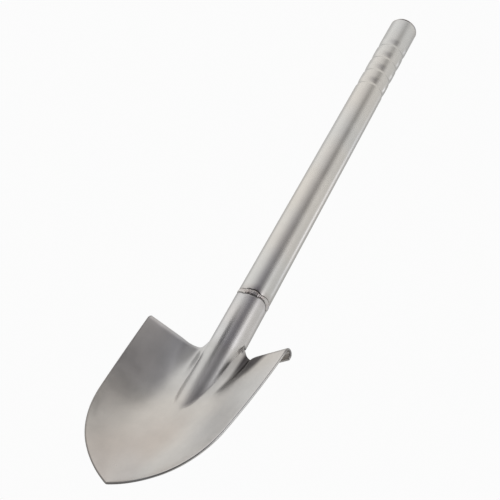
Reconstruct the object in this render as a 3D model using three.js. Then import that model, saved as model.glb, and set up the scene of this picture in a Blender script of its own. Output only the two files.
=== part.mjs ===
// A one-piece welded stainless-steel digging shovel, 600 mm long.
//
// Millimetres, +Z up. The origin is the middle of the flat outer face of the handle's end cap, so the
// whole shovel hangs below it: handle on top, blade tip lowest. +X is the digger's right and -Y is the
// front, the hollow side of the blade.
//
// The blade, its raised centre rib, its rolled foot treads and the socket are one pressed sheet. The
// sheet is built as its middle surface and then thickened.

import * as THREE from 'three';
import { ParametricGeometry } from 'three/addons/geometries/ParametricGeometry.js';
import { mergeGeometries, mergeVertices } from 'three/addons/utils/BufferGeometryUtils.js';

// ---- Driving dimensions ----

const tubeRadius = 16;
const tubeWall = 1.5;
const sheet = 2;
const gap = 0.3;

const jointZ = -397;
const jointWeldWidth = 5;
const jointWeldCrown = 0.8;

const gripGrooves = 4;
const firstGroove = 42;
const groovePitch = 21.5;
const grooveWidth = 13;
const grooveDepth = 0.7;
const grooveLean = 0.5;

const capThickness = 3;
const capWeldHeight = 2.1;
const capWeldRounding = 1.3;

const shoulderHalfWidth = 76.1;
const shoulderZ = -451.9;
const shoulderTaper = THREE.MathUtils.degToRad(3.5);
const sideRadius = 900;
const sideLength = 80;
const cheekRadius = 76;
const cheekEnd = THREE.MathUtils.degToRad(52);
const noseRadius = 120;

const topSlope = 0.215;
const notchReach = 23;
const notchRise = 21;

const centreStart = -0.6;
const centreFall = 24;
const centreCurl = 21.9;
const edgeStart = -26.8;
const edgeFall = 19.7;
const edgeBelly = 23;
const wingBend = 0.26;
const wingBendGain = 0.42;

const valleyX = 28;
const valleyDrift = 5;
const valleyWidth = 7;
const valleyDepth = 7;
const valleyEndZ = -507;

const ribStartAngle = THREE.MathUtils.degToRad(92);
const ribKept = 0.94;
const ribSettle = 12;
const ribEndAngle = THREE.MathUtils.degToRad(7);
const ribLift = 1.8;
const ribNoseZ = -512;
const ribNoseLength = 14;
const ribNoseDrop = 4;
const ribFillet = 3.5;
const ribBlend = 0.5;
const ribShare = 0.1;
const filletShare = 0.25;

const treadRadius = 3.5;
const treadReturn = 2.5;
const treadEndTrim = 2;
const treadStartX = 22;
const treadFullX = 40;
const treadShortest = 1;

const socketBackZ = -440;
const seamGap = 1.8;
const seamWeldWidth = 3.6;
const seamWeldCrown = 0.8;

// How finely the sheet is divided: strips on half the rib, half the fillet, one wing, and so on.
const ribStrips = 6;
const filletStrips = 4;
const wingStrips = 13;
const backStrips = 5;
const bladeRows = 33;
const socketRows = 5;
const treadRows = 7;
const roundSides = 40;

// ---- Sizes that follow from them ----

const middleRadius = tubeRadius - sheet / 2;
const halfStrips = ribStrips + filletStrips + wingStrips;
const notchX = middleRadius * Math.sin(ribStartAngle);
const socketTopZ = jointZ - jointWeldWidth / 2 - gap;
const seamAngle = Math.PI - Math.asin(seamGap / 2 / middleRadius);

const smoothstep = THREE.MathUtils.smoothstep;
const clamp = THREE.MathUtils.clamp;
const lerp = THREE.MathUtils.lerp;

// ---- Blade outline: half-width against height, three tangent arcs from the shoulder to the tip ----

function makeOutline() {
  const path = new THREE.Path();
  let heading = shoulderTaper;
  let x = shoulderHalfWidth;
  let z = shoulderZ;
  const arcTo = (radius, nextHeading) => {
    const centreX = x - radius * Math.cos(heading);
    const centreZ = z + radius * Math.sin(heading);
    const end = nextHeading ?? Math.acos(-centreX / radius);
    path.absarc(centreX, centreZ, radius, -heading, -end, true);
    x = centreX + radius * Math.cos(end);
    z = centreZ - radius * Math.sin(end);
    heading = end;
  };
  arcTo(sideRadius, shoulderTaper + sideLength / sideRadius);
  arcTo(cheekRadius, cheekEnd);
  arcTo(noseRadius);
  path.arcLengthDivisions = 2000;
  return path;
}

const outline = makeOutline();
const tipZ = outline.getPointAt(1).y;

// ---- The sheet's middle surface ----

// How far down the blade a height is: 0 at the shoulders and 1 at the tip.
function depth(z) {
  return clamp((shoulderZ - z) / (shoulderZ - tipZ), 0, 1);
}

// How far the side edge stands from the middle at one height.
function outlineHalfWidth(z) {
  if (z >= shoulderZ) return shoulderHalfWidth;
  const arc = outline.curves.find(({ aY, xRadius, aEndAngle }) => z >= aY + xRadius * Math.sin(aEndAngle));
  const { aX, aY, xRadius } = arc ?? outline.curves.at(-1);
  return aX + Math.sqrt(Math.max(xRadius ** 2 - (z - aY) ** 2, 0));
}

// The dished face: its middle falls forward towards the tip and a wing rises forward on each side. A
// shallow valley runs down beside the rib and fades out.
function faceY(x, z) {
  const down = depth(z);
  const centre = centreStart - centreFall * down - centreCurl * down ** 2;
  const edge = edgeStart - edgeFall * down - edgeBelly * down ** 3 * (1 - down);
  const bend = wingBend + wingBendGain * down;
  const out = x / Math.max(outlineHalfWidth(z), 1);
  const flared = ((out ** 4 + bend ** 4) ** 0.25 - bend) / ((1 + bend ** 4) ** 0.25 - bend);
  const rise = lerp(flared, out * out, smoothstep(down, 0.3, 0.8));
  const valley = smoothstep(z, valleyEndZ, shoulderZ);
  const across = (Math.abs(x) - valleyX + valleyDrift * (1 - valley)) / valleyWidth;
  return centre + (edge - centre) * rise + valleyDepth * valley * Math.exp(-across * across);
}

// Height of the sheet's upper edge: it falls from the shoulder towards the middle, then sweeps up into
// the socket's side at the notch.
function topEdgeZ(x) {
  const line = shoulderZ - topSlope * (shoulderHalfWidth - x);
  const intoNotch = Math.max(0, notchX + notchReach - x) / notchReach;
  return line + notchRise * intoNotch ** 2;
}

const notchZ = topEdgeZ(notchX);

// The rib stands a little further forward towards its end, then drops away in a rounded nose.
function ribForward(z) {
  const nose = clamp((ribNoseZ - z) / ribNoseLength, 0, 1);
  const drop = ribNoseDrop * (1 - Math.sqrt(1 - nose * nose));
  return ribLift * smoothstep(-z, -shoulderZ, -ribNoseZ) - drop;
}

// Half the angle the rib's round covers before it turns into the face. Below the rib's end the strips
// only have to stay inside the narrowing blade.
function ribAngle(z, halfWidth) {
  let meeting = 1;
  for (let i = 0; i < 6; i += 1) {
    const behind = faceY(middleRadius * Math.sin(meeting), z) + ribForward(z);
    meeting = Math.acos(clamp(-behind / middleRadius, -1, 1));
  }
  const angle = lerp(ribStartAngle, ribKept * meeting, smoothstep(notchZ - z, 0, ribSettle));
  return Math.max(angle, Math.min(ribEndAngle, (ribShare * halfWidth) / middleRadius));
}

// The rib is the socket's own round running on down the blade until the face reaches its front.
function ribPoint(angle, z) {
  const x = middleRadius * Math.sin(angle);
  const round = -middleRadius * Math.cos(angle) - ribForward(z);
  const face = faceY(x, z);
  const difference = (round - face) / 2;
  const front = (round + face) / 2 - Math.hypot(difference, ribBlend);
  return new THREE.Vector2(x, lerp(round, front, smoothstep(-z, -shoulderZ, -shoulderZ + 20)));
}

// The concave corner between the rib's side and the face, tangent to both.
function filletPoint(t, z, halfWidth) {
  const angle = ribAngle(z, halfWidth);
  const start = ribPoint(angle, z);
  const before = ribPoint(angle - 0.01, z);
  const leave = start.clone().sub(before).normalize();
  const endX = start.x + Math.min(ribFillet, filletShare * halfWidth);
  const end = new THREE.Vector2(endX, faceY(endX, z));
  const arrive = new THREE.Vector2(1, faceY(endX + 0.5, z) - faceY(endX - 0.5, z)).normalize();
  const reach = 0.4 * start.distanceTo(end);
  const curve = new THREE.CubicBezierCurve(
    start,
    start.clone().addScaledVector(leave, reach),
    end.clone().addScaledVector(arrive, -reach),
    end,
  );
  return curve.getPoint(t);
}

// Across the right half of the blade at one height. The strip number runs from 0 on the middle line to
// halfStrips on the side edge.
function halfSection(strip, z, halfWidth) {
  if (strip <= ribStrips) return ribPoint((strip / ribStrips) * ribAngle(z, halfWidth), z);
  const inFillet = strip - ribStrips;
  if (inFillet <= filletStrips) return filletPoint(inFillet / filletStrips, z, halfWidth);
  const innerX = filletPoint(1, z, halfWidth).x;
  const x = lerp(innerX, halfWidth, (inFillet - filletStrips) / wingStrips);
  return new THREE.Vector2(x, faceY(x, z));
}

function bladePoint(strip, v) {
  if (v === 1) return new THREE.Vector3(0, faceY(0, tipZ), tipZ);
  const side = outline.getPointAt(v);
  const across = Math.abs(strip);
  const top = across <= ribStrips ? notchZ : topEdgeZ(halfSection(across, notchZ, shoulderHalfWidth).x);
  const z = side.y + (top - shoulderZ) * (1 - v) ** 3;
  const point = halfSection(across, z, side.x);
  return new THREE.Vector3(Math.sign(strip) * point.x, point.y, z);
}

// The socket: the sheet rolled into a tube, its two edges meeting at the back above an open throat.
function socketPoint(strip, v) {
  const across = Math.abs(strip);
  let angle = (across / ribStrips) * ribStartAngle;
  let bottom = notchZ;
  if (across > ribStrips) {
    const around = (across - ribStrips) / backStrips;
    angle = lerp(ribStartAngle, seamAngle, around);
    bottom = lerp(notchZ, socketBackZ, around ** 1.5);
  }
  const z = lerp(bottom, socketTopZ, v);
  const x = Math.sign(strip) * middleRadius * Math.sin(angle);
  return new THREE.Vector3(x, -middleRadius * Math.cos(angle), z);
}

// A foot tread: the sheet's upper edge rolled backward over a small radius and turned down.
function treadPoint(strip, v) {
  const edge = bladePoint(strip, 0);
  const rightward = bladePoint(Math.min(strip + 0.1, halfStrips), 0);
  const leftward = bladePoint(Math.max(strip - 0.1, -halfStrips), 0);
  const along = rightward.sub(leftward).normalize();
  const up = edge.clone().sub(bladePoint(strip, 0.01));
  up.addScaledVector(along, -up.dot(along)).normalize();
  const back = new THREE.Vector3().crossVectors(up, along);
  back.multiplyScalar(Math.sign(back.y));
  const full = Math.PI * treadRadius + treadReturn;
  const present = smoothstep(Math.abs(edge.x), treadStartX, treadFullX);
  const length = v * lerp(treadShortest, full, present);
  const turn = Math.min(length / treadRadius, Math.PI);
  const straight = length - turn * treadRadius;
  const trim = Math.abs(strip) === halfStrips ? treadEndTrim * Math.sin(turn / 2) ** 2 : 0;
  edge.addScaledVector(along, -trim * Math.sign(strip));
  edge.addScaledVector(up, treadRadius * Math.sin(turn) - straight);
  return edge.addScaledVector(back, treadRadius * (1 - Math.cos(turn)));
}

// ---- Solids ----

function patch(pointAt, firstStrip, lastStrip, rows) {
  const place = (u, v, target) => {
    const strip = lerp(firstStrip, lastStrip, u);
    target.copy(pointAt(strip, v));
  };
  return new ParametricGeometry(place, Math.abs(lastStrip - firstStrip), rows);
}

// Patches that share edges become one open surface: only position is kept and triangles that have
// shrunk to nothing at the tip are dropped.
function joinPatches(patches) {
  const joined = mergeGeometries(patches);
  joined.deleteAttribute('normal');
  joined.deleteAttribute('uv');
  const merged = mergeVertices(joined, 1e-3);
  const corners = [];
  for (let i = 0; i < merged.index.count; i += 3) {
    const [a, b, c] = [0, 1, 2].map((k) => merged.index.getX(i + k));
    if (a !== b && b !== c && c !== a) corners.push(a, b, c);
  }
  merged.setIndex(corners);
  merged.computeVertexNormals();
  return merged;
}

// Gives an open surface its thickness: a copy on each side and a wall round every free edge.
function thicken(surface, thickness) {
  const place = surface.getAttribute('position');
  const normal = surface.getAttribute('normal');
  const count = place.count;
  const points = new Float32Array(count * 6);
  for (let i = 0; i < count; i += 1) {
    const middle = new THREE.Vector3().fromBufferAttribute(place, i);
    const away = new THREE.Vector3().fromBufferAttribute(normal, i).setLength(thickness / 2);
    middle.clone().add(away).toArray(points, i * 3);
    middle.clone().sub(away).toArray(points, (count + i) * 3);
  }
  const source = surface.index.array;
  const edges = new Set();
  for (let i = 0; i < source.length; i += 3) {
    for (let k = 0; k < 3; k += 1) edges.add(`${source[i + k]},${source[i + ((k + 1) % 3)]}`);
  }
  const faces = [];
  for (let i = 0; i < source.length; i += 3) {
    const [a, b, c] = source.slice(i, i + 3);
    faces.push(a, b, c);
    faces.push(count + a, count + c, count + b);
  }
  for (const edge of edges) {
    const [a, b] = edge.split(',').map(Number);
    if (edges.has(`${b},${a}`)) continue;
    faces.push(a, count + a, b);
    faces.push(b, count + a, count + b);
  }
  const solid = new THREE.BufferGeometry();
  solid.setAttribute('position', new THREE.BufferAttribute(points, 3));
  solid.setIndex(faces);
  solid.computeVertexNormals();
  return solid;
}

// Turns a closed profile of [radius, z] points round the handle's axis.
function turned(profile) {
  const points = [...profile, profile[0]].map(([radius, z]) => new THREE.Vector2(radius, z));
  return new THREE.LatheGeometry(points, roundSides).rotateX(Math.PI / 2);
}

function bladeGeometry() {
  const face = patch(bladePoint, -halfStrips, halfStrips, bladeRows);
  const socketHalf = ribStrips + backStrips;
  const socket = patch(socketPoint, -socketHalf, socketHalf, socketRows);
  const inner = ribStrips + filletStrips;
  const leftTread = patch(treadPoint, -halfStrips, -inner, treadRows);
  const rightTread = patch(treadPoint, inner, halfStrips, treadRows);
  for (const upward of [socket, leftTread, rightTread]) {
    upward.index.array.reverse();
  }
  return thicken(joinPatches([face, socket, leftTread, rightTread]), sheet);
}

// Each grip groove deepens slowly from above and ends in a short step, so its deepest line leans downward.
function handleGeometry() {
  const bottom = jointZ + jointWeldWidth / 2 + gap;
  const top = -capWeldHeight - gap;
  const profile = [[tubeRadius - tubeWall, bottom], [tubeRadius, bottom]];
  const steps = 4;
  for (let groove = gripGrooves - 1; groove >= 0; groove -= 1) {
    const centre = -firstGroove - groove * groovePitch;
    for (let step = -steps; step <= steps; step += 1) {
      const side = step / steps;
      const across = side * (side > 0 ? 1 + grooveLean : 1 - grooveLean) - grooveLean;
      const cut = grooveDepth * Math.cos((side * Math.PI) / 2) ** 2;
      profile.push([tubeRadius - cut, centre + (across * grooveWidth) / 2]);
    }
  }
  profile.push([tubeRadius, top], [tubeRadius - tubeWall, top]);
  return turned(profile);
}

function jointWeldGeometry() {
  const bead = new THREE.QuadraticBezierCurve(
    new THREE.Vector2(tubeRadius - 0.2, jointZ - jointWeldWidth / 2),
    new THREE.Vector2(tubeRadius + 2 * jointWeldCrown, jointZ),
    new THREE.Vector2(tubeRadius - 0.2, jointZ + jointWeldWidth / 2),
  );
  const crown = bead.getPoints(6).map((point) => [point.x, point.y]);
  const inner = tubeRadius - tubeWall;
  return turned([
    [inner, jointZ + jointWeldWidth / 2],
    [inner, jointZ - jointWeldWidth / 2],
    ...crown,
  ]);
}

function seamWeldGeometry() {
  const root = seamGap / 2 - gap;
  const seat = tubeRadius + gap;
  const half = seamWeldWidth / 2;
  const shape = new THREE.Shape();
  shape.moveTo(-root, tubeRadius - sheet);
  shape.lineTo(root, tubeRadius - sheet);
  shape.lineTo(root, seat);
  shape.lineTo(half, seat);
  shape.quadraticCurveTo(0, seat + 2 * seamWeldCrown, -half, seat);
  shape.lineTo(-root, seat);
  shape.closePath();
  const bottom = socketBackZ + 1;
  const length = socketTopZ - bottom;
  const options = { depth: length, bevelEnabled: false, curveSegments: 6 };
  return new THREE.ExtrudeGeometry(shape, options).translate(0, 0, bottom);
}

function endCapGeometry() {
  const radius = tubeRadius - tubeWall - gap;
  const points = [[0, -capThickness], [radius, -capThickness], [radius, 0], [0, 0]];
  const profile = points.map(([x, z]) => new THREE.Vector2(x, z));
  return new THREE.LatheGeometry(profile, roundSides).rotateX(Math.PI / 2);
}

function capWeldGeometry() {
  const inner = tubeRadius - tubeWall;
  const corner = [];
  const steps = 4;
  for (let step = 0; step <= steps; step += 1) {
    const angle = (step / steps) * (Math.PI / 2);
    corner.push([
      tubeRadius - capWeldRounding * (1 - Math.cos(angle)),
      -gap / 2 - capWeldRounding * (1 - Math.sin(angle)),
    ]);
  }
  return turned([[inner, -gap / 2], [inner, -capWeldHeight], [tubeRadius, -capWeldHeight], ...corner]);
}

// ---- Assembly ----

const satinSteel = { color: 0xb7b4b0, roughness: 0.42, metalness: 1 };
const weldSteel = { color: 0x9d9a96, roughness: 0.55, metalness: 1 };

function piece(name, geometry, finish) {
  const mesh = new THREE.Mesh(geometry, new THREE.MeshStandardMaterial(finish));
  mesh.name = name;
  return mesh;
}

const shovel = new THREE.Group();
shovel.add(
  piece('blade', bladeGeometry(), satinSteel),
  piece('socket_seam_weld', seamWeldGeometry(), weldSteel),
  piece('joint_weld', jointWeldGeometry(), weldSteel),
  piece('handle_tube', handleGeometry(), satinSteel),
  piece('end_cap', endCapGeometry(), satinSteel),
  piece('end_cap_weld', capWeldGeometry(), weldSteel),
);

export default shovel;
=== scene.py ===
"""A welded stainless digging shovel for metal detecting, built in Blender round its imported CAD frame.

Sizes are in millimetres and become metres when a mesh is made; materials, studio and camera are in metres.
The origin is the middle of the handle's end cap, +Z runs up the handle and -Y is the front, the hollow side
of the blade.
"""

import math

import bpy
import numpy as np
from mathutils import Matrix, Vector, noise


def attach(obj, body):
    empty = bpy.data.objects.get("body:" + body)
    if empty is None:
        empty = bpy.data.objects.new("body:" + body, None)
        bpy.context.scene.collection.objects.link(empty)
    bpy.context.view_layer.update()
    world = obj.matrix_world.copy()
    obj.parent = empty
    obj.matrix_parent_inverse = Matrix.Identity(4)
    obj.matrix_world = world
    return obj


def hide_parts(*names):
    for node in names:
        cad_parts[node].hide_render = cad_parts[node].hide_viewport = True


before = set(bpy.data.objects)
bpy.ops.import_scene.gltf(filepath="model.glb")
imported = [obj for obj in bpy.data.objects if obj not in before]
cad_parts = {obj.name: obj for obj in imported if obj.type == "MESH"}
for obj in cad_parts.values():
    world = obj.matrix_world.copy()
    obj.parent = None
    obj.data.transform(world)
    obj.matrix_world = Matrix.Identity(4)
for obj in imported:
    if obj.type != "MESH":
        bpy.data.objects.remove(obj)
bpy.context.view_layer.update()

MM = 0.001

# ---- Sizes, the same as the CAD part's ----

TUBE_RADIUS = 16.0
TUBE_WALL = 1.5
SHEET = 2.0
JOINT_Z = -397.0

GRIP_GROOVES = 4
FIRST_GROOVE = 42.0
GROOVE_PITCH = 21.5
GROOVE_WIDTH = 13.0
GROOVE_DEPTH = 0.7
GROOVE_LEAN = 0.5

# The blade's outline: a shoulder, then three arcs on each side.
SHOULDER_HALF_WIDTH = 76.1
SHOULDER_Z = -451.9
SHOULDER_TAPER = math.radians(3.5)
SIDE_RADIUS = 900.0
SIDE_LENGTH = 80.0
CHEEK_RADIUS = 76.0
CHEEK_END = math.radians(52)
NOSE_RADIUS = 120.0

# The blade's top edge, and the notch on each side of the socket.
TOP_SLOPE = 0.215
NOTCH_REACH = 23.0
NOTCH_RISE = 21.0

# The dish, from the shoulder down to the tip: the depth of its middle and of its edges.
CENTRE_START = -0.6
CENTRE_FALL = 24.0
CENTRE_CURL = 21.9
EDGE_START = -26.8
EDGE_FALL = 19.7
EDGE_BELLY = 23.0
WING_BEND = 0.26
WING_BEND_GAIN = 0.42
# Over these shares of the way down, the section turns from a flat middle and raised wings to a plain arc.
ARC_FROM = 0.3
ARC_FULL = 0.8

# The valley on each side of the rib.
VALLEY_X = 28.0
VALLEY_DRIFT = 5.0
VALLEY_WIDTH = 7.0
VALLEY_DEPTH = 7.0
VALLEY_END_Z = -507.0

# The rib and the concave corner beside it.
RIB_START_ANGLE = math.radians(92)
RIB_KEPT = 0.94
RIB_SETTLE = 12.0
RIB_END_ANGLE = math.radians(7)
RIB_LIFT = 1.8
RIB_NOSE_Z = -512.0
RIB_NOSE_LENGTH = 14.0
RIB_NOSE_DROP = 4.0
RIB_FILLET = 3.5
FILLET_PULL = 0.4
RIB_BLEND = 0.5
RIB_BLEND_OVER = 20.0
RIB_SHARE = 0.1
FILLET_SHARE = 0.25

# The foot treads.
TREAD_RADIUS = 3.5
TREAD_RETURN = 2.5
TREAD_END_TRIM = 2.0
TREAD_START_X = 22.0
TREAD_FULL_X = 40.0
TREAD_SHORTEST = 1.0

# The back of the socket, and the welds.
SOCKET_BACK_Z = -440.0
THROAT_CURVE = 1.5
SEAM_GAP = 1.8

SEAM_WELD_WIDTH = 3.6
CAP_THICKNESS = 3.0
CAP_WELD_HEIGHT = 2.1
CAP_WELD_ROUNDING = 1.3

# ---- Detail that only this model has ----

# The bead round the joint: its edges above and below the joint, their unevenness, and one long drip.
JOINT_ABOVE = 1.5
JOINT_ABOVE_UNEVEN = 1.6
JOINT_BELOW = 3.0
JOINT_BELOW_UNEVEN = 1.8
DRIP_LENGTH = 3.5
DRIP_ANGLE = 106
DRIP_SPREAD = 13
JOINT_GAP_ABOVE = 0.1
JOINT_GAP_BELOW = 0.35
JOINT_CROWN = 0.35
JOINT_UNDERCUT = 0.7
JOINT_STEEPNESS = 5
JOINT_RIPPLES = 44
JOINT_RIPPLE_HEIGHT = 0.04
JOINT_RIPPLE_BOW = 1.2
JOINT_LUMPS = 0.2

# The bead down the back of the socket.
SEAM_WELD_CROWN = 0.7
SEAM_RIPPLE_PITCH = 1.7
SEAM_RIPPLE_HEIGHT = 0.1
SEAM_RIPPLE_BOW = 0.35
SEAM_ROUNDNESS = 0.85
SEAM_LIFT = 0.04
SEAM_ROOT_CLEARANCE = 0.3
SEAM_START = 0.4
SEAM_STATION = 0.22
SEAM_END_STATIONS = 6

# The dressed bead round the end cap.
CAP_RIPPLES = 52
CAP_RIPPLE_HEIGHT = 0.06
CAP_LUMPS = 0.2
CAP_UNEVEN = 0.25

# The socket stops this far short of the joint weld's lower edge.
SOCKET_TRIM = 0.1

# The sheet's free edges are rounded by this much, in this many steps.
RIM_BULGE = 0.6
RIM_STEPS = 6

# The sheet's edge is drawn dark, a painted shade, but less so where the light catches it on the blade's
# right.
RIM_LIT_X = (2, 55)
RIM_LIT_Z = (-452, -458)
RIM_LIT_SHARE = 0.85

TUBE_TOP_Z = -2.2
# Cut back from the tube's radius, and height from its end, at each row of the tube's two rounded ends.
TUBE_LOWER_END = ((0.7, 0.0), (0.25, 0.15), (0.05, 0.5), (0.0, 1.1))
TUBE_UPPER_END = ((0.0, -2.0), (0.0, -0.6), (0.03, -0.3), (0.15, -0.12), (0.4, 0.0))

# ---- How finely everything is divided ----

RIB_STRIPS = 16
FILLET_STRIPS = 10
WING_STRIPS = 40
BACK_STRIPS = 20
BLADE_ROWS = 120
SOCKET_ROWS = 40
TREAD_ROWS = 20
TREAD_TRIM_STRIPS = 3
ROUND_SIDES = 144
WELD_SIDES = 480
WELD_STEPS = 14
CAP_STEPS = 10
# Rows along the tube: level ones this far above the joint inside and outside, then every so many millimetres.
TUBE_INNER_LEVEL = 8
TUBE_OUTER_LEVEL = 9
TUBE_FIRST_ROW = 20
TUBE_ROW = 12
TUBE_LAST_ROW_Z = -20
GROOVE_ROW = 0.5
GROOVE_MARGIN = 11

# Small steps for measuring a slope: in radians, in millimetres, in strips and as a share of the side edge.
ANGLE_STEP = 0.01
FACE_STEP = 0.5
STRIP_STEP = 0.1
EDGE_STEP = 0.003
# Passes for finding where the rib's round meets the face.
MEETING_PASSES = 6

MIDDLE_RADIUS = TUBE_RADIUS - SHEET / 2
HALF_STRIPS = RIB_STRIPS + FILLET_STRIPS + WING_STRIPS
SEAM_ANGLE = math.pi - math.asin(SEAM_GAP / 2 / MIDDLE_RADIUS)


def lerp(a, b, t):
    return a + (b - a) * t


def clamp(x, low=0.0, high=1.0):
    return max(low, min(high, x))


def smoothstep(x, low, high):
    t = clamp((x - low) / (high - low))
    return t * t * (3 - 2 * t)


# ---- Blade outline: three tangent arcs from the shoulder to the tip ----


def outline_arcs():
    """Each arc as (centre x, centre z, radius, first heading, last heading)."""
    arcs = []
    heading = SHOULDER_TAPER
    x, z = SHOULDER_HALF_WIDTH, SHOULDER_Z
    for radius, end in (
        (SIDE_RADIUS, SHOULDER_TAPER + SIDE_LENGTH / SIDE_RADIUS),
        (CHEEK_RADIUS, CHEEK_END),
        (NOSE_RADIUS, None),
    ):
        centre_x = x - radius * math.cos(heading)
        centre_z = z + radius * math.sin(heading)
        if end is None:
            end = math.acos(-centre_x / radius)
        arcs.append((centre_x, centre_z, radius, heading, end))
        x = centre_x + radius * math.cos(end)
        z = centre_z - radius * math.sin(end)
        heading = end
    return arcs


OUTLINE = outline_arcs()
OUTLINE_LENGTH = sum(arc[2] * (arc[4] - arc[3]) for arc in OUTLINE)


def outline_point(v):
    """Half-width and height at a share v of the way along the side edge."""
    left = v * OUTLINE_LENGTH
    for centre_x, centre_z, radius, first, last in OUTLINE:
        length = radius * (last - first)
        if left <= length:
            break
        left -= length
    heading = min(first + left / radius, last) if left <= length else last
    return centre_x + radius * math.cos(heading), centre_z - radius * math.sin(heading)


TIP_Z = OUTLINE[-1][1] - NOSE_RADIUS * math.sin(OUTLINE[-1][4])

# ---- The sheet's middle surface ----


def outline_half_width(z):
    """How far the side edge is from the middle at one height."""
    if z >= SHOULDER_Z:
        return SHOULDER_HALF_WIDTH
    for centre_x, centre_z, radius, _, last in OUTLINE:
        if z >= centre_z - radius * math.sin(last):
            break
    return centre_x + math.sqrt(max(radius**2 - (z - centre_z) ** 2, 0))


def face_y(x, z):
    """The dished face: the middle falls forward towards the tip and a wing rises forward on each side."""
    down = clamp((SHOULDER_Z - z) / (SHOULDER_Z - TIP_Z))
    centre = CENTRE_START - CENTRE_FALL * down - CENTRE_CURL * down**2
    edge = EDGE_START - EDGE_FALL * down - EDGE_BELLY * down**3 * (1 - down)
    bend = WING_BEND + WING_BEND_GAIN * down
    out = x / max(outline_half_width(z), 1)
    rise = ((out**4 + bend**4) ** 0.25 - bend) / ((1 + bend**4) ** 0.25 - bend)
    rise = lerp(rise, out * out, smoothstep(down, ARC_FROM, ARC_FULL))
    valley = smoothstep(z, VALLEY_END_Z, SHOULDER_Z)
    across = (abs(x) - VALLEY_X + VALLEY_DRIFT * (1 - valley)) / VALLEY_WIDTH
    return centre + (edge - centre) * rise + VALLEY_DEPTH * valley * math.exp(-across * across)


def top_edge_z(x):
    """The straight, sloping top edge, curling up into the notch beside the socket."""
    line = SHOULDER_Z - TOP_SLOPE * (SHOULDER_HALF_WIDTH - x)
    into_notch = max(0.0, NOTCH_X + NOTCH_REACH - x) / NOTCH_REACH
    return line + NOTCH_RISE * into_notch**2


NOTCH_X = MIDDLE_RADIUS * math.sin(RIB_START_ANGLE)
NOTCH_Z = top_edge_z(NOTCH_X)


def rib_lift(z):
    """The rib stands a little further forward towards its end, then drops away in a rounded nose."""
    nose = clamp((RIB_NOSE_Z - z) / RIB_NOSE_LENGTH)
    drop = RIB_NOSE_DROP * (1 - math.sqrt(1 - nose * nose))
    return RIB_LIFT * smoothstep(-z, -SHOULDER_Z, -RIB_NOSE_Z) - drop


def rib_angle(z, half_width):
    """Half the angle the rib's round covers before it turns into the face."""
    meeting = 1.0
    for _ in range(MEETING_PASSES):
        behind = face_y(MIDDLE_RADIUS * math.sin(meeting), z) + rib_lift(z)
        meeting = math.acos(clamp(-behind / MIDDLE_RADIUS, -1, 1))
    angle = lerp(RIB_START_ANGLE, RIB_KEPT * meeting, smoothstep(NOTCH_Z - z, 0, RIB_SETTLE))
    return max(angle, min(RIB_END_ANGLE, RIB_SHARE * half_width / MIDDLE_RADIUS))


def rib_point(angle, z):
    """The socket's own round, running on down the blade until the face reaches its front."""
    x = MIDDLE_RADIUS * math.sin(angle)
    round_y = -MIDDLE_RADIUS * math.cos(angle) - rib_lift(z)
    face = face_y(x, z)
    front = (round_y + face) / 2 - math.hypot((round_y - face) / 2, RIB_BLEND)
    return x, lerp(round_y, front, smoothstep(-z, -SHOULDER_Z, -SHOULDER_Z + RIB_BLEND_OVER))


def fillet_point(t, z, half_width):
    """The concave corner between the rib's side and the face: a cubic curve tangent to both."""
    angle = rib_angle(z, half_width)
    start = np.array(rib_point(angle, z))
    leave = start - np.array(rib_point(angle - ANGLE_STEP, z))
    leave /= np.linalg.norm(leave)
    end_x = start[0] + min(RIB_FILLET, FILLET_SHARE * half_width)
    end = np.array((end_x, face_y(end_x, z)))
    arrive = np.array((2 * FACE_STEP, face_y(end_x + FACE_STEP, z) - face_y(end_x - FACE_STEP, z)))
    arrive /= np.linalg.norm(arrive)
    reach = FILLET_PULL * np.linalg.norm(end - start)
    points = (start, start + leave * reach, end - arrive * reach, end)
    shares = ((1 - t) ** 3, 3 * t * (1 - t) ** 2, 3 * t * t * (1 - t), t**3)
    return tuple(sum(share * point for share, point in zip(shares, points)))


def half_section(strip, z, half_width):
    """Across the right half of the blade at one height."""
    if strip <= RIB_STRIPS:
        return rib_point(strip / RIB_STRIPS * rib_angle(z, half_width), z)
    in_fillet = strip - RIB_STRIPS
    if in_fillet <= FILLET_STRIPS:
        return fillet_point(in_fillet / FILLET_STRIPS, z, half_width)
    inner_x = fillet_point(1, z, half_width)[0]
    x = lerp(inner_x, half_width, (in_fillet - FILLET_STRIPS) / WING_STRIPS)
    return x, face_y(x, z)


def blade_point(strip, v):
    """A point of the face, the rib and the wings, at a share v of the way down from the top edge."""
    if v == 1:
        return 0.0, face_y(0, TIP_Z), TIP_Z
    half_width, side_z = outline_point(v)
    across = abs(strip)
    top = NOTCH_Z
    if across > RIB_STRIPS:
        top = top_edge_z(half_section(across, NOTCH_Z, SHOULDER_HALF_WIDTH)[0])
    z = side_z + (top - SHOULDER_Z) * (1 - v) ** 3
    x, y = half_section(across, z, half_width)
    return math.copysign(x, strip), y, z


def socket_point(strip, v):
    """The sheet rolled into a tube, its two edges meeting at the back above an open throat."""
    across = abs(strip)
    angle = across / RIB_STRIPS * RIB_START_ANGLE
    bottom = NOTCH_Z
    if across > RIB_STRIPS:
        around = (across - RIB_STRIPS) / BACK_STRIPS
        angle = lerp(RIB_START_ANGLE, SEAM_ANGLE, around)
        bottom = lerp(NOTCH_Z, SOCKET_BACK_Z, around**THROAT_CURVE)
    x = math.copysign(MIDDLE_RADIUS * math.sin(angle), strip)
    top = weld_lower(math.copysign(angle, strip)) - SOCKET_TRIM
    return x, -MIDDLE_RADIUS * math.cos(angle), lerp(bottom, top, v)


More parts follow.
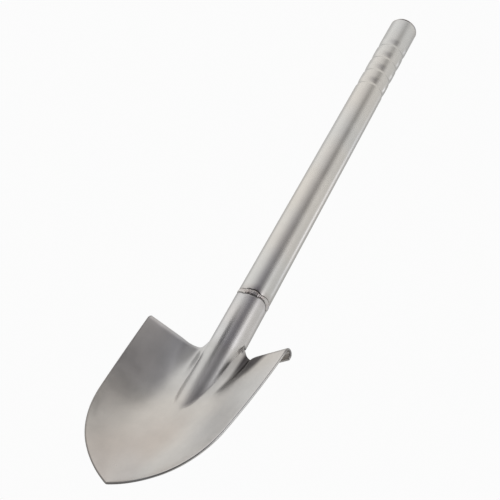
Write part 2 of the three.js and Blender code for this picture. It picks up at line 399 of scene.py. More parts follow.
def tread_point(strip, v):
    """The sheet's upper edge rolled backward over a small radius and turned down."""
    edge = np.array(blade_point(strip, 0))
    right = np.array(blade_point(min(strip + STRIP_STEP, HALF_STRIPS), 0))
    left = np.array(blade_point(max(strip - STRIP_STEP, -HALF_STRIPS), 0))
    along = (right - left) / np.linalg.norm(right - left)
    up = edge - np.array(blade_point(strip, EDGE_STEP))
    up -= along * up.dot(along)
    up /= np.linalg.norm(up)
    back = np.cross(up, along)
    back *= math.copysign(1, back[1])
    full = math.pi * TREAD_RADIUS + TREAD_RETURN
    present = smoothstep(abs(edge[0]), TREAD_START_X, TREAD_FULL_X)
    length = v * lerp(TREAD_SHORTEST, full, present)
    turn = min(length / TREAD_RADIUS, math.pi)
    straight = length - turn * TREAD_RADIUS
    last = smoothstep(abs(strip), HALF_STRIPS - TREAD_TRIM_STRIPS, HALF_STRIPS)
    trim = last * TREAD_END_TRIM * math.sin(turn / 2) ** 2
    edge -= along * math.copysign(trim, strip)
    edge += up * (TREAD_RADIUS * math.sin(turn) - straight)
    edge += back * TREAD_RADIUS * (1 - math.cos(turn))
    return tuple(edge)


# ---- The joint weld's uneven edges, by angle round the tube from the front ----


def wander(angle, seed, scale):
    """Smooth unevenness that closes on itself round the tube; each seed gives a different run of it."""
    place = Vector((math.cos(angle) * scale, math.sin(angle) * scale, seed))
    return noise.fractal(place, 1.0, 2.0, 4)


def weld_upper(angle):
    return JOINT_Z + JOINT_ABOVE + JOINT_ABOVE_UNEVEN * wander(angle, seed=3.1, scale=1.6)


def weld_lower(angle):
    drip = DRIP_LENGTH * math.exp(-(((math.degrees(angle) - DRIP_ANGLE) / DRIP_SPREAD) ** 2))
    return JOINT_Z - JOINT_BELOW - JOINT_BELOW_UNEVEN * wander(angle, seed=8.7, scale=1.7) - drip


# ---- Grip rings ----


def groove_cut(z):
    """How deep the tube is rolled in at one height; each ring is deepest towards its lower side."""
    cut = 0.0
    for groove in range(GRIP_GROOVES):
        across = (z + FIRST_GROOVE + groove * GROOVE_PITCH) / (GROOVE_WIDTH / 2)
        span = 1 + GROOVE_LEAN if across > -GROOVE_LEAN else 1 - GROOVE_LEAN
        side = (across + GROOVE_LEAN) / span
        if abs(side) < 1:
            cut += GROOVE_DEPTH * math.cos(side * math.pi / 2) ** 2
    return cut


# ---- Mesh helpers ----


def patch(point_at, first, last, rows, upward):
    """A grid of quads between two strips, as lists of corner points."""
    strips = round(last - first)
    grid = [[point_at(first + i, j / rows) for i in range(strips + 1)] for j in range(rows + 1)]
    quads = []
    for j in range(rows):
        for i in range(strips):
            corners = (grid[j][i], grid[j + 1][i], grid[j + 1][i + 1], grid[j][i + 1])
            quads.append(corners[::-1] if upward else corners)
    return quads


def join_corners(quads, digits=3):
    """Corner points that coincide become one: returns points and faces."""
    index = {}
    points = []
    faces = []
    for quad in quads:
        face = []
        for corner in quad:
            key = tuple(round(float(c), digits) + 0.0 for c in corner)
            if key not in index:
                index[key] = len(points)
                points.append(corner)
            if index[key] not in face:
                face.append(index[key])
        if len(face) > 2:
            faces.append(face)
    return np.array(points, float), faces


def corner_normals(points, faces):
    """Each point's normal: the sum of its faces' normals, which weighs them by area."""
    normals = np.zeros_like(points)
    for face in faces:
        a, b, c = points[face[0]], points[face[1]], points[face[2]]
        d = points[face[3]] if len(face) == 4 else a
        normal = np.cross(c - a, d - b) if len(face) == 4 else np.cross(b - a, c - a)
        normals[face] += normal
    return normals / np.linalg.norm(normals, axis=1)[:, None]


def thicken(points, faces, thickness):
    """Gives an open surface its thickness and rounds every free edge; the rounded edge's faces come last."""
    normals = corner_normals(points, faces)
    count = len(points)
    edges = {(f[i], f[(i + 1) % len(f)]) for f in faces for i in range(len(f))}
    rim = [(a, b) for a, b in edges if (b, a) not in edges]
    outward = {}
    for a, b in rim:
        along = points[b] - points[a]
        along /= np.linalg.norm(along)
        for corner in (a, b):
            outward[corner] = outward.get(corner, 0) + np.cross(along, normals[corner])
    solid = [*(points + normals * thickness / 2), *(points - normals * thickness / 2)]
    ring = {}
    for corner, away in outward.items():
        away = away / np.linalg.norm(away)
        ring[corner] = [corner]
        for step in range(1, RIM_STEPS):
            turn = math.pi * step / RIM_STEPS
            offset = normals[corner] * math.cos(turn) * thickness / 2 + away * RIM_BULGE * math.sin(turn)
            ring[corner].append(len(solid))
            solid.append(points[corner] + offset)
        ring[corner].append(corner + count)
    walls = [list(face) for face in faces]
    walls += [[count + i for i in reversed(face)] for face in faces]
    for a, b in rim:
        for step in range(RIM_STEPS):
            walls.append([ring[a][step], ring[a][step + 1], ring[b][step + 1], ring[b][step]])
    return np.array(solid), walls


def new_piece(name, points, faces, material, node):
    """A smooth-shaded mesh object in metres that rides the frame and stands for a CAD node."""
    mesh = bpy.data.meshes.new(name)
    mesh.from_pydata([tuple(float(c) * MM for c in point) for point in points], [], faces)
    mesh.validate()
    mesh.update()
    mesh.polygons.foreach_set("use_smooth", [True] * len(mesh.polygons))
    piece = bpy.data.objects.new(name, mesh)
    bpy.context.scene.collection.objects.link(piece)
    mesh.materials.append(material)
    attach(piece, "root")
    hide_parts(node)
    return piece


def ring(radius, z):
    """A level ring for revolved()."""
    return lambda angle: (radius, z)


def above_weld(radius, rise):
    """A ring for revolved() that follows the joint weld's upper edge."""
    return lambda angle: (radius, weld_upper(angle) + rise)


def revolved(rows, sides=ROUND_SIDES, closed=True):
    """Points and faces for a stack of rings, each a function of angle that gives radius and z.

    Closed joins the last ring to the first.
    """
    points = []
    for row in rows:
        for side in range(sides):
            angle = 2 * math.pi * side / sides - math.pi
            radius, z = row(angle)
            points.append((radius * math.sin(angle), -radius * math.cos(angle), z))
    faces = []
    count = len(rows)
    for j in range(count if closed else count - 1):
        for i in range(sides):
            a, b = j * sides, (j + 1) % count * sides
            k = (i + 1) % sides
            faces.append([a + i, a + k, b + k, b + i])
    return points, faces


# ---- Pieces ----


def build_blade(material):
    """One sheet: the face with its rib, the socket, and a foot tread on each side."""
    socket_half = RIB_STRIPS + BACK_STRIPS
    inner = RIB_STRIPS + FILLET_STRIPS
    quads = patch(blade_point, -HALF_STRIPS, HALF_STRIPS, BLADE_ROWS, False)
    quads += patch(socket_point, -socket_half, socket_half, SOCKET_ROWS, True)
    quads += patch(tread_point, -HALF_STRIPS, -inner, TREAD_ROWS, True)
    quads += patch(tread_point, inner, HALF_STRIPS, TREAD_ROWS, True)
    points, faces = join_corners(quads)
    solid, walls = thicken(points, faces, SHEET)
    piece = new_piece("blade_sheet", solid, walls, material, "blade")
    mark_rim(piece.data, solid, walls[2 * len(faces) :])


def mark_rim(mesh, points, rim_faces):
    """Stores the painted shade of the sheet's rounded edge: how dark it is drawn at each point, less where it
    is lit.
    """
    corners = {corner for face in rim_faces for corner in face}
    values = [0.0] * len(points)
    for corner in corners:
        x, _, z = points[corner]
        lit = smoothstep(x, *RIM_LIT_X) * smoothstep(z, *RIM_LIT_Z)
        values[corner] = 1 - RIM_LIT_SHARE * lit
    mesh.attributes.new("rim", "FLOAT", "POINT").data.foreach_set("value", values)


def build_handle(material):
    """The hollow tube, from the joint weld's upper edge, over the grip rings, to just under the end."""
    inner = TUBE_RADIUS - TUBE_WALL
    rows = [
        ring(inner, TUBE_TOP_Z),
        ring(inner, JOINT_Z + TUBE_INNER_LEVEL),
        above_weld(inner, 0.3),
        above_weld(inner + 0.4, 0.0),
        *[above_weld(TUBE_RADIUS - cut, rise) for cut, rise in TUBE_LOWER_END],
        ring(TUBE_RADIUS, JOINT_Z + TUBE_OUTER_LEVEL),
    ]
    lowest_groove = -FIRST_GROOVE - (GRIP_GROOVES - 1) * GROOVE_PITCH
    z = JOINT_Z + TUBE_FIRST_ROW
    while z < lowest_groove - TUBE_ROW:
        rows.append(ring(TUBE_RADIUS, z))
        z += TUBE_ROW
    z = lowest_groove - GROOVE_MARGIN
    while z < -FIRST_GROOVE + GROOVE_MARGIN:
        rows.append(ring(TUBE_RADIUS - groove_cut(z), z))
        z += GROOVE_ROW
    rows.append(ring(TUBE_RADIUS, TUBE_LAST_ROW_Z))
    rows += [ring(TUBE_RADIUS - cut, TUBE_TOP_Z + rise) for cut, rise in TUBE_UPPER_END]
    points, faces = revolved(rows)
    new_piece("handle_tube_fine", points, faces, material, "handle_tube")


def build_joint_weld(material):
    """A low, rippled bead lying between two undercut edges."""
    inner = TUBE_RADIUS - TUBE_WALL + 0.1

    def low(angle):
        return weld_lower(angle) + JOINT_GAP_BELOW

    def high(angle):
        return weld_upper(angle) - JOINT_GAP_ABOVE

    def bead(share):
        def row(angle):
            arch = min(1.0, JOINT_STEEPNESS * min(share, 1 - share)) ** 0.5
            bow = JOINT_RIPPLE_BOW * math.sin(math.pi * share)
            ripple = math.sin(JOINT_RIPPLES * angle + bow + 3 * wander(angle, seed=5.5, scale=1.2))
            lump = JOINT_LUMPS * wander(angle, seed=1.7 + 0.4 * share, scale=3.0)
            crown = TUBE_RADIUS + JOINT_CROWN + JOINT_RIPPLE_HEIGHT * ripple + lump
            return lerp(TUBE_RADIUS - JOINT_UNDERCUT, crown, arch), lerp(low(angle), high(angle), share)

        return row

    rows = [lambda angle: (inner, low(angle))]
    rows += [bead(step / WELD_STEPS) for step in range(WELD_STEPS + 1)]
    rows.append(lambda angle: (inner, high(angle)))
    points, faces = revolved(rows, sides=WELD_SIDES)
    new_piece("joint_weld_bead", points, faces, material, "joint_weld")


def build_seam_weld(material):
    """A rippled bead down the back of the socket, keyed into the gap between the sheet's edges."""
    bottom, top = SOCKET_BACK_Z + SEAM_START, weld_lower(math.pi) - SOCKET_TRIM
    root = SEAM_GAP / 2 - SEAM_ROOT_CLEARANCE
    floor = TUBE_RADIUS - SHEET
    seat = TUBE_RADIUS + SEAM_LIFT
    stations = round((top - bottom) / SEAM_STATION)
    points = []
    for station in range(stations + 1):
        z = lerp(bottom, top, station / stations)
        ending = min(1.0, min(station, stations - station) / SEAM_END_STATIONS) ** 0.5
        uneven = wander(z / 9, seed=4.2, scale=1.0)
        half = SEAM_WELD_WIDTH / 2 * (0.8 + 0.2 * ending + 0.25 * uneven)
        crown = SEAM_WELD_CROWN * (0.85 + 0.3 * uneven)
        points += [(-root, floor, z), (-root, seat, z)]
        for step in range(WELD_STEPS + 1):
            across = 2 * step / WELD_STEPS - 1
            ripple = math.sin(2 * math.pi * (z / SEAM_RIPPLE_PITCH + SEAM_RIPPLE_BOW * across * across))
            height = (crown + SEAM_RIPPLE_HEIGHT * ripple) * ending
            points.append((half * across, seat + height * (1 - across * across) ** SEAM_ROUNDNESS, z))
        points += [(root, seat, z), (root, floor, z)]
    around = WELD_STEPS + 5
    faces = [list(range(around))]
    for station in range(stations):
        for i in range(around):
            a, b = station * around, (station + 1) * around
            k = (i + 1) % around
            faces.append([a + i, b + i, b + k, a + k])
    faces.append([stations * around + i for i in reversed(range(around))])
    new_piece("socket_seam_bead", points, faces, material, "socket_seam_weld")


def build_end_cap(material):
    """A flat disc inside the tube's end, its upper edge slightly rounded."""
    radius = TUBE_RADIUS - TUBE_WALL - 0.25
    rows = [
        ring(radius - 1.0, -CAP_THICKNESS),
        ring(radius - 0.4, -CAP_THICKNESS),
        ring(radius, -CAP_THICKNESS + 0.4),
        ring(radius, -0.35),
        ring(radius - 0.1, -0.1),
        ring(radius - 0.35, 0.0),
        ring(radius - 0.6, 0.0),
    ]
    points, faces = revolved(rows, closed=False)
    last = (len(rows) - 1) * ROUND_SIDES
    faces.append(list(reversed(range(ROUND_SIDES))))
    faces.append([last + i for i in range(ROUND_SIDES)])
    new_piece("end_cap_disc", points, faces, material, "end_cap")


def build_cap_weld(material):
    """The weld that closes the tube's end, dressed almost flush and rounded over."""
    inner = TUBE_RADIUS - TUBE_WALL + 0.05
    bottom = -CAP_WELD_HEIGHT
    radius = TUBE_RADIUS + 0.05

    def row(reach, z, rough):
        """A ring whose unevenness is a share of the whole bead's."""

        def at(angle):
            lump = CAP_RIPPLE_HEIGHT * math.sin(CAP_RIPPLES * angle + 4 * wander(angle, seed=2.2, scale=1.1))
            lump += CAP_LUMPS * wander(angle, seed=6.1, scale=3.0)
            drift = CAP_UNEVEN * wander(angle, seed=9.4, scale=2.0)
            return reach + rough * lump, z + rough * drift

        return at

    rows = [row(inner, bottom, 0), row(radius - 0.45, bottom, 0.2), row(radius - 0.1, bottom + 0.25, 0.6)]
    for step in range(CAP_STEPS + 1):
        turn = step / CAP_STEPS * math.pi / 2
        reach = radius - CAP_WELD_ROUNDING * (1 - math.cos(turn))
        z = -0.1 - CAP_WELD_ROUNDING * (1 - math.sin(turn))
        rows.append(row(reach, z, 1 - 0.6 * step / CAP_STEPS))
    rows.append(row(inner + 0.1, -0.15, 0.2))
    rows.append(row(inner, -0.4, 0))
    points, faces = revolved(rows, sides=WELD_SIDES)
    new_piece("end_cap_weld_bead", points, faces, material, "end_cap_weld")


# ---- Shader helpers ----


class Tree:
    """Shorthand for writing a node tree as nested calls; every call returns an output socket."""

    def __init__(self, owner):
        owner.use_nodes = True
        self.nodes = owner.node_tree.nodes
        self.links = owner.node_tree.links

    def add(self, kind, inputs=(), output=0, **settings):
        node = self.nodes.new(kind)
        for name, value in settings.items():
            setattr(node, name, value)
        for key, value in dict(inputs).items():
            self.feed(node.inputs[key], value)
        return node.outputs[output]

    def feed(self, socket, value):
        if isinstance(value, bpy.types.NodeSocket):
            self.links.new(value, socket)
        else:
            socket.default_value = value

    def math(self, operation, *values, clamped=False):
        return self.add("ShaderNodeMath", dict(enumerate(values)), operation=operation, use_clamp=clamped)

    def between(self, value, low, high, to_low=0.0, to_high=1.0, smooth=True):
        """Maps a value from one range to another, held level outside it."""
        kind = "SMOOTHSTEP" if smooth else "LINEAR"
        inputs = {"Value": value, "From Min": low, "From Max": high, "To Min": to_low, "To Max": to_high}
        return self.add("ShaderNodeMapRange", inputs, interpolation_type=kind)

    def all_of(self, first, *others):
        """The product of several masks."""
        for other in others:
            first = self.math("MULTIPLY", first, other)
        return first

    def stretch(self, vector, scale):
        return self.add("ShaderNodeMapping", {"Vector": vector, "Scale": scale})

    def noise(self, vector, scale, detail=3.0, roughness=0.5, distortion=0.0):
        inputs = {
            "Vector": vector,
            "Scale": scale,
            "Detail": detail,
            "Roughness": roughness,
            "Distortion": distortion,
        }
        return self.add("ShaderNodeTexNoise", inputs)

    def mix(self, factor, a, b, blend="MIX"):
        node = self.nodes.new("ShaderNodeMix")
        node.data_type = "RGBA"
        node.blend_type = blend
        self.feed(node.inputs[0], factor)
        self.feed(node.inputs[6], a)
        self.feed(node.inputs[7], b)
        return node.outputs[2]

    def tone(self, amount, color, tone):
        """The colour multiplied by a tone, as far as the amount says."""
        return self.mix(amount, color, self.mix(1.0, color, tone, "MULTIPLY"))

    def grey(self, value):
        return self.add("ShaderNodeCombineColor", {0: value, 1: value, 2: value})

    def vector(self, operation, a, b=None, scale=None, output="Vector"):
        node = self.nodes.new("ShaderNodeVectorMath")
        node.operation = operation
        self.feed(node.inputs[0], a)
        if b is not None:
            self.feed(node.inputs[1], b)
        if scale is not None:
            self.feed(node.inputs["Scale"], scale)
        return node.outputs[output]

    def axes(self, vector):
        node = self.nodes.new("ShaderNodeSeparateXYZ")
        self.feed(node.inputs[0], vector)
        return node.outputs


# ---- Metals; ranges and places in metres ----

# The range that most of a noise texture's values fall in, and one that gives clearer patches.
NOISE_RANGE = (0.3, 0.7)
NARROW_RANGE = (0.35, 0.65)

SCRATCH_WIDTH = 0.012
SCRATCH_PATCHES = (0.58, 0.7)
SCRATCH_ROUGHNESS = 0.12
# How far each pattern stands out of the steel.
GRAIN_RELIEF = 0.35
BROAD_GRAIN_RELIEF = 0.5
SPECKLE_RELIEF = 0.25
SCRATCH_RELIEF = -0.6

WARM_TINT = (1.03, 1.0, 0.965)
COOL_TINT = (0.97, 0.985, 1.0)
SOCKET_TONE = (0.985, 1.0, 1.035, 1)
HEAT_COLOR = (0.50, 0.44, 0.42, 1)
HEAT_REACH = (0.002, 0.010)
HEAT_UNEVEN = 0.012

# Painted shade on steel seen at a slant, which is drawn darker: over this range of the layer weight, by up to
# this share.
GRAZING_RANGE = (0.50, 0.80)
GRAZING_SHARE = 0.42
GRAZING_COLOR = (0.02, 0.02, 0.022, 1)
RIM_SHARE = 0.55

# Below this height the blade is duller than its socket, a rougher finish drawn darker, and its right side
# less so, which is painted light.
BLADE_FROM_Z = (-0.452, -0.438)
BLADE_EDGE_UNEVEN = 0.012
BLADE_RIGHT_X = (0.015, 0.040)
BLADE_SHADE = 0.90
BLADE_RIGHT_SHADE = 0.99
BLADE_ROUGHER = 0.05

# The painted dark reflection right of the rib, a triangle. Its outer side follows two sloping lines, x =
# slope * z + offset.
WEDGE_TONE = (0.10, 0.095, 0.105, 1)
WEDGE_INNER_X = (0.0205, 0.0240)
WEDGE_OUTER_LINES = ((1.0, 0.519), (0.55, 0.306))
WEDGE_OUTER_FADE = (-0.0045, 0.005)
WEDGE_UNEVEN = 0.006
WEDGE_Z = (-0.488, -0.464)
WEDGE_STRENGTH = (0.5, 0.95)
FRONT_NORMAL_Y = (-0.1, 0.1)

# A painted warmer reflection below the rib, which ends along a slanted line, and a painted darker reflection
# on the left wing.
NOSE_TONE = (0.90, 0.865, 0.85, 1)
NOSE_SLANT = -0.75
NOSE_REACH = (-0.560, -0.515)
NOSE_X = (0.008, 0.03)
WING_TONE = (0.76, 0.76, 0.79, 1)
WING_X = (-0.036, -0.022)
WING_Z = (-0.535, -0.495)

WELD_BRIGHT = (0.70, 0.68, 0.66, 1)
WELD_BROWN = (0.52, 0.47, 0.45, 1)
WELD_BLUE = (0.42, 0.43, 0.50, 1)
WELD_BLUE_PATCHES = (0.55, 0.72)
WELD_OXIDE = (0.05, 0.042, 0.04, 1)
WELD_OXIDE_RADIUS = ((TUBE_RADIUS - 0.5) * MM, (TUBE_RADIUS + 0.05) * MM)
WELD_ROUGHNESS = (0.22, 0.36)


def scratch_lines(tree, place):
    """Fine scratches that run the way the handle does, in patches."""
    lines = tree.add(
        "ShaderNodeTexVoronoi",
        {"Vector": tree.stretch(place, (1, 1, 0.06)), "Scale": 120, "Randomness": 1.0},
        feature="DISTANCE_TO_EDGE",
    )
    patches = tree.between(tree.noise(place, scale=34, detail=2), *SCRATCH_PATCHES)
    return tree.all_of(tree.between(lines, 0.0, SCRATCH_WIDTH, 1.0, 0.0), patches)


def heat_tint(tree, place, color, heat):
    """A dull brown band on both sides of the joint weld."""
    height = tree.axes(place)[2]
    offset = tree.math("ABSOLUTE", tree.math("SUBTRACT", height, (JOINT_Z - 1) * MM))
    uneven = tree.math("MULTIPLY", tree.math("SUBTRACT", tree.noise(place, scale=60), 0.5), HEAT_UNEVEN)
    near = tree.between(tree.math("ADD", offset, uneven), *HEAT_REACH, heat, 0.0)
    return tree.mix(near, color, HEAT_COLOR)


def reflected_tones(tree, place, cloud, color):
    """Painted reflections: darker and warmer areas of the blade's front, in place of a room that isn't known.
    """
    x, _, z = tree.axes(place)
    # Painted dark reflection right of the rib.
    lines = [tree.math("MULTIPLY_ADD", z, slope, offset) for slope, offset in WEDGE_OUTER_LINES]
    outer = tree.math("MINIMUM", *lines)
    outer = tree.math("MULTIPLY_ADD", tree.math("SUBTRACT", cloud, 0.5), WEDGE_UNEVEN, outer)
    facing = tree.axes(tree.add("ShaderNodeNewGeometry", output="True Normal"))[1]
    wedge = tree.all_of(
        tree.between(x, *WEDGE_INNER_X),
        tree.between(tree.math("SUBTRACT", outer, x), *WEDGE_OUTER_FADE),
        tree.between(z, *WEDGE_Z, *WEDGE_STRENGTH),
        tree.between(facing, *FRONT_NORMAL_Y, 1.0, 0.0),
    )
    color = tree.tone(wedge, color, WEDGE_TONE)
    # Painted warmer reflection below the rib.
    slanted = tree.math("MULTIPLY_ADD", x, NOSE_SLANT, z)
    nose = tree.all_of(tree.between(slanted, *NOSE_REACH, 1.0, 0.0), tree.between(x, *NOSE_X, 1.0, 0.0))
    color = tree.tone(nose, color, NOSE_TONE)
    # Painted darker reflection on the left wing.
    wing = tree.all_of(tree.between(x, *WING_X, 1.0, 0.0), tree.between(z, *WING_Z))
    return tree.tone(wing, color, WING_TONE)


def blade_finish(tree, place, cloud, color, rough, dark):
    """The blade's colour, roughness and darkening, duller below the socket; its right side darkened less as
    painted light, its rounded edge given painted shade, and painted reflections on its front.
    """
    x, _, z = tree.axes(place)
    uneven = tree.math("MULTIPLY", tree.noise(place, scale=40, detail=2), BLADE_EDGE_UNEVEN)
    height = tree.math("ADD", z, uneven)
    below = tree.between(height, *BLADE_FROM_Z, 1.0, 0.0)
    socket = tree.math("SUBTRACT", 1.0, below)
    color = tree.tone(socket, color, SOCKET_TONE)
    # Painted light: the blade's right side is darkened less than the rest.
    shade = tree.between(x, *BLADE_RIGHT_X, BLADE_SHADE, BLADE_RIGHT_SHADE)
    color = tree.mix(below, color, tree.vector("SCALE", color, scale=shade))
    rough = tree.math("ADD", rough, tree.math("MULTIPLY", below, BLADE_ROUGHER))
    # Painted shade on the sheet's rounded edge.
    rim = tree.add("ShaderNodeAttribute", output="Fac", attribute_name="rim")
    dark = tree.math("MAXIMUM", tree.math("MULTIPLY", dark, socket), tree.math("MULTIPLY", rim, RIM_SHARE))
    return reflected_tones(tree, place, cloud, color), rough, dark


def steel_material(name, base, roughness, streaks, blotches, heat, is_blade=False):
    """Satin stainless: grain along the handle, soft cloudy patches, fine scratches, heat tint by the weld."""
    material = bpy.data.materials.new(name)
    tree = Tree(material)
    shader = tree.nodes["Principled BSDF"]
    place = tree.add("ShaderNodeTexCoord", output="Object")
    grain = tree.noise(tree.stretch(place, (1, 1, 0.02)), scale=1400, detail=2, roughness=0.6)
    broad_grain = tree.noise(tree.stretch(place, (1, 1, 0.03)), scale=260, roughness=0.6)
    cloud = tree.noise(place, scale=26, detail=4, roughness=0.55, distortion=0.4)
    patches = tree.noise(place, scale=9, detail=2)
    mottle = tree.noise(place, scale=75, detail=5, roughness=0.65)
    speckle = tree.noise(place, scale=900, detail=2)
    scratches = scratch_lines(tree, place)

    warm, cool = [tuple(c * k for c, k in zip(base, tint)) + (1,) for tint in (WARM_TINT, COOL_TINT)]
    color = tree.mix(tree.between(patches, *NARROW_RANGE), warm, cool)
    shade = tree.between(cloud, *NOISE_RANGE, 1 - blotches, 1 + blotches)
    color = tree.mix(1.0, color, tree.grey(shade), "MULTIPLY")
    color = heat_tint(tree, place, color, heat)
    rough = tree.between(cloud, *NOISE_RANGE, roughness - 0.04, roughness + 0.05)
    # Painted shade: steel seen at a slant is drawn darker.
    facing = tree.add("ShaderNodeLayerWeight", {"Blend": 0.5}, output="Facing")
    dark = tree.between(facing, *GRAZING_RANGE, 0.0, GRAZING_SHARE)
    if is_blade:
        color, rough, dark = blade_finish(tree, place, cloud, color, rough, dark)
    color = tree.mix(dark, color, GRAZING_COLOR)
    shade = tree.between(mottle, *NOISE_RANGE, 1 - blotches, 1 + blotches)
    tree.feed(shader.inputs["Base Color"], tree.vector("SCALE", color, scale=shade))
    tree.feed(shader.inputs["Metallic"], 1.0)

    rough = tree.math("ADD", rough, tree.between(broad_grain, *NOISE_RANGE, -streaks, streaks, smooth=False))
    rough = tree.math("ADD", rough, tree.math("MULTIPLY", scratches, SCRATCH_ROUGHNESS), clamped=True)
    tree.feed(shader.inputs["Roughness"], rough)

    relief = tree.math("MULTIPLY", grain, GRAIN_RELIEF)
    others = ((broad_grain, BROAD_GRAIN_RELIEF), (speckle, SPECKLE_RELIEF), (scratches, SCRATCH_RELIEF))
    for pattern, height in others:
        relief = tree.math("ADD", relief, tree.math("MULTIPLY", pattern, height))
    bump = tree.add("ShaderNodeBump", {"Height": relief, "Strength": 0.25, "Distance": 0.00006})
    tree.feed(shader.inputs["Normal"], bump)
    return material


def weld_material(name, oxide):
    """Brushed weld metal with a faint blue and brown bloom; with oxide, its undercut edges are dark."""
    material = bpy.data.materials.new(name)
    tree = Tree(material)
    shader = tree.nodes["Principled BSDF"]
    place = tree.add("ShaderNodeTexCoord", output="Object")
    cloud = tree.noise(place, scale=180, roughness=0.6)
    speckle = tree.noise(place, scale=1300, detail=2, roughness=0.6)
    bloom = tree.between(tree.noise(place, scale=90, detail=2), *WELD_BLUE_PATCHES)
    color = tree.mix(tree.between(cloud, *NARROW_RANGE), WELD_BRIGHT, WELD_BROWN)
    color = tree.mix(bloom, color, WELD_BLUE)
    if oxide:
        flat = tree.vector("MULTIPLY", place, (1.0, 1.0, 0.0))
        radius = tree.vector("LENGTH", flat, output="Value")
        deep = tree.between(radius, *WELD_OXIDE_RADIUS, 1.0, 0.0)
        color = tree.mix(deep, color, WELD_OXIDE)
    tree.feed(shader.inputs["Base Color"], color)
    tree.feed(shader.inputs["Metallic"], 1.0)
    tree.feed(shader.inputs["Roughness"], tree.between(cloud, *NOISE_RANGE, *WELD_ROUGHNESS))
    relief = tree.math("ADD", tree.math("MULTIPLY", cloud, 0.8), tree.math("MULTIPLY", speckle, 0.3))
    bump = tree.add("ShaderNodeBump", {"Height": relief, "Strength": 0.4, "Distance": 0.0002})
    tree.feed(shader.inputs["Normal"], bump)
    return material


# ---- Studio: a soft pale room with a few lighter and darker sides, over a pale floor; in metres ----

WHITE = (0.97, 0.97, 0.97, 1)

# Each lighter or darker side: azimuth and elevation in degrees, sharpness, strength, colour.
STUDIO_LOBES = (
    (24, -17, 5.5, -2.1, (1.0, 1.0, 0.93)),
    (47, 39, 22, -0.35, (1.0, 1.0, 1.0)),
    (73, 7, 60, 2.0, (1.0, 1.0, 1.04)),
    (148, 33, 140, 0.85, (0.95, 0.98, 1.1)),
    (138, 13, 1, -0.35, (1.0, 0.98, 0.95)),
    (20, 90, 11, -0.12, (0.95, 1.0, 1.05)),
    (222, -14, 6, -0.62, (1.0, 0.99, 0.96)),
    (268, -24, 14, -0.30, (1.0, 1.0, 1.0)),
    (0, -90, 3, -0.50, (1.0, 0.99, 0.97)),
)
STUDIO_BASE = (0.97, 0.96, 0.94)
STUDIO_DARKEST = (0.07, 0.068, 0.07)

FLOOR_HALF_SIZE = 6.0
FLOOR_DROP = 0.0012
FLOOR_TONES = (0.90, 0.93)
FLOOR_FADE = (0.12, 0.75)
FLOOR_LIFT = (0.30, 0.30, 0.30, 1)

# The dark board's sides, and its distance in front.
CARD_TONE = (0.02, 0.018, 0.022, 1)
CARD_LEFT, CARD_RIGHT = -0.115, -0.002
CARD_BOTTOM, CARD_TOP = -0.400, -0.332
CARD_Y = -0.235


def direction(azimuth, elevation):
    """A unit vector towards an azimuth and elevation in degrees; azimuth 0 is the front."""
    azimuth, elevation = math.radians(azimuth), math.radians(elevation)
    level = math.cos(elevation)
    return math.sin(azimuth) * level, -math.cos(azimuth) * level, math.sin(elevation)


def build_world():
    world = bpy.data.worlds.new("studio")
    bpy.context.scene.world = world
    tree = Tree(world)
    outward = tree.add("ShaderNodeTexCoord", output="Generated")
    color = STUDIO_BASE
    for azimuth, elevation, sharpness, strength, tint in STUDIO_LOBES:
        toward = tree.vector("DOT_PRODUCT", outward, direction(azimuth, elevation), output="Value")
        power = tree.math("MULTIPLY", tree.math("SUBTRACT", toward, 1.0), float(sharpness))
        glow = tree.math("EXPONENT", power)
        part = tree.vector("SCALE", tuple(strength * c for c in tint), scale=glow)
        color = tree.vector("ADD", color, part)
    color = tree.vector("MAXIMUM", color, STUDIO_DARKEST)
    seen = tree.add("ShaderNodeLightPath", output="Is Camera Ray")
    tree.feed(tree.nodes["Background"].inputs["Color"], tree.mix(seen, color, WHITE))


def floor_material():
    """Pale, matt and seen from above only; it fades into the studio's white a step away from the shovel."""
    material = bpy.data.materials.new("studio_floor")
    tree = Tree(material)
    tree.nodes.remove(tree.nodes["Principled BSDF"])
    place = tree.add("ShaderNodeTexCoord", output="Object")
    away = tree.vector("LENGTH", place, output="Value")
    tone = tree.between(tree.noise(place, scale=220), *NOISE_RANGE, *FLOOR_TONES)
    matt = tree.add("ShaderNodeBsdfDiffuse", {"Color": tree.grey(tone)})
    lift = tree.add("ShaderNodeEmission", {"Color": FLOOR_LIFT})
    lit = tree.add("ShaderNodeAddShader", {0: matt, 1: lift})
    glow = tree.add("ShaderNodeEmission", {"Color": WHITE})
    above = tree.add("ShaderNodeMixShader", {0: tree.between(away, *FLOOR_FADE), 1: lit, 2: glow})
    clear = tree.add("ShaderNodeBsdfTransparent")
    below = tree.add("ShaderNodeNewGeometry", output="Backfacing")
    surface = tree.add("ShaderNodeMixShader", {0: below, 1: above, 2: clear})
    tree.feed(tree.nodes["Material Output"].inputs["Surface"], surface)
    return material


def card_material():
    material = bpy.data.materials.new("dark_card")
    tree = Tree(material)
    tree.nodes.remove(tree.nodes["Principled BSDF"])
    glow = tree.add("ShaderNodeEmission", {"Color": CARD_TONE})
    tree.feed(tree.nodes["Material Output"].inputs["Surface"], glow)
    return material


def four_sided(name, corners, material):
    """A flat four-sided object of the studio."""
    mesh = bpy.data.meshes.new(name)
    mesh.from_pydata(corners, [], [(0, 1, 2, 3)])
    mesh.materials.append(material)
    flat = bpy.data.objects.new(name, mesh)
    bpy.context.scene.collection.objects.link(flat)
    return flat


def build_floor():
    reach = FLOOR_HALF_SIZE
    corners = [(-reach, -reach, 0), (reach, -reach, 0), (reach, reach, 0), (-reach, reach, 0)]
    floor = four_sided("floor", corners, floor_material())
    floor.location = (0, 0, TIP_Z * MM - FLOOR_DROP)
    floor.visible_glossy = False


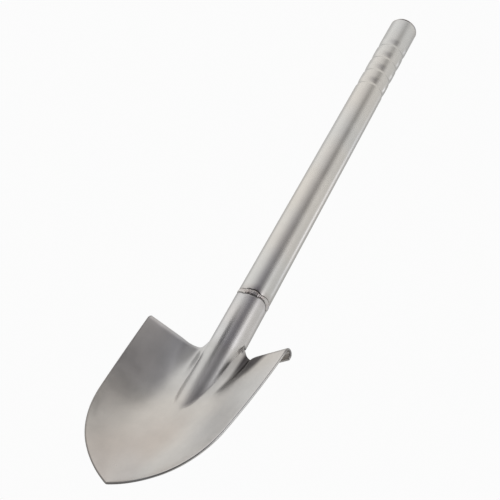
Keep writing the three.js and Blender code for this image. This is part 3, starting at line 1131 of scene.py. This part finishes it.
def build_dark_card():
    """A dark board to the front left that only the steel's reflections see."""
    corners = [
        (CARD_LEFT, CARD_Y, CARD_BOTTOM),
        (CARD_RIGHT, CARD_Y, CARD_BOTTOM),
        (CARD_RIGHT, CARD_Y, CARD_TOP),
        (CARD_LEFT, CARD_Y, CARD_TOP),
    ]
    card = four_sided("dark_card", corners, card_material())
    for kind in ("camera", "diffuse", "transmission", "volume_scatter", "shadow"):
        setattr(card, "visible_" + kind, False)


# ---- Camera: the photo's viewpoint, below the shovel's front right and rolled over ----

CAMERA_AZIMUTH = 41.32
CAMERA_ELEVATION = -27.36
CAMERA_ROLL = math.radians(30.23)
CAMERA_DISTANCE = 0.6866
CAMERA_AIM = Vector((-0.03397, 0, -0.34277))
CAMERA_LENS = 50.4
CAMERA_SENSOR = 36


def build_camera():
    data = bpy.data.cameras.new("camera")
    data.lens = CAMERA_LENS
    data.sensor_width = CAMERA_SENSOR
    camera = bpy.data.objects.new("camera", data)
    bpy.context.scene.collection.objects.link(camera)
    towards_camera = Vector(direction(CAMERA_AZIMUTH, CAMERA_ELEVATION))
    level_right = (-towards_camera).cross(Vector((0, 0, 1))).normalized()
    level_up = level_right.cross(-towards_camera)
    right = level_right * math.cos(CAMERA_ROLL) + level_up * math.sin(CAMERA_ROLL)
    up = level_up * math.cos(CAMERA_ROLL) - level_right * math.sin(CAMERA_ROLL)
    turn = Matrix((right, up, towards_camera)).transposed()
    camera.matrix_world = Matrix.Translation(CAMERA_AIM + towards_camera * CAMERA_DISTANCE) @ turn.to_4x4()
    bpy.context.scene.camera = camera


# ---- The shovel in its studio ----

blade_steel = steel_material(
    "satin_steel_blade",
    base=(0.75, 0.735, 0.715),
    roughness=0.28,
    streaks=0.02,
    blotches=0.03,
    heat=0.25,
    is_blade=True,
)
handle_steel = steel_material(
    "satin_steel_handle",
    base=(0.75, 0.74, 0.72),
    roughness=0.26,
    streaks=0.03,
    blotches=0.02,
    heat=0.35,
)
weld_steel = weld_material("weld_bead", oxide=True)
dressed_weld = weld_material("dressed_weld", oxide=False)

build_blade(blade_steel)
build_handle(handle_steel)
build_joint_weld(weld_steel)
build_seam_weld(weld_steel)
build_end_cap(handle_steel)
build_cap_weld(dressed_weld)

build_world()
build_floor()
build_dark_card()
build_camera()
bpy.context.scene.view_settings.view_transform = "Standard"
